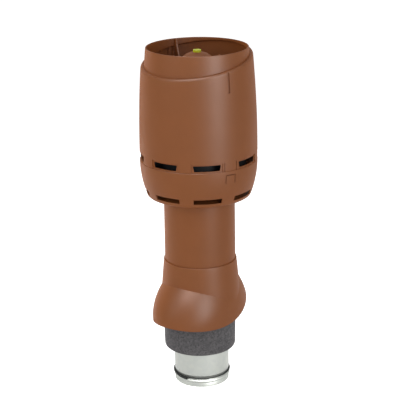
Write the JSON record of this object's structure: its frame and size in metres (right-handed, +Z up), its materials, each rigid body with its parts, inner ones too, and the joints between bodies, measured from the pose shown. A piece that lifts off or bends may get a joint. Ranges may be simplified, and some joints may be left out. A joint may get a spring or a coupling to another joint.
{
  "type": "roof tile vent",
  "caption": "roof exhaust vent for tiled roofs: plastic hood with windowed barrel and oval skirt on an insulated pipe round a galvanised duct",
  "frame": {"origin": "centre of the duct's lower end, where the vent meets the ventilation duct below", "axes": "+Z up the pipe, -Y down the roof's slope, +X to the side"},
  "size_m": [0.2594, 0.2595, 0.776],
  "materials": {
    "galvanised_steel": "spangled zinc, satin",
    "seal_rubber": "matt",
    "moulded_foam": "beaded foam with a moulded skin",
    "brick_red_plastic": "fine matt grain",
    "yellow_plastic": "smooth",
    "black_plastic": "matt",
    "screw_steel": "bright zinc"
  },
  "bodies": {
    "root": {"steel_duct": "galvanised_steel", "duct_seal": "seal_rubber", "insulation_sleeve": "moulded_foam", "outer_pipe": "brick_red_plastic", "roof_skirt": "brick_red_plastic", "hood_bowl": "brick_red_plastic", "hood_shell": "brick_red_plastic", "rain_dome": "brick_red_plastic", "dome_plug": "yellow_plastic", "air_guide": "black_plastic", "guide_ring": "seal_rubber", "hood_screws": "screw_steel"}
  },
  "joints": []
}
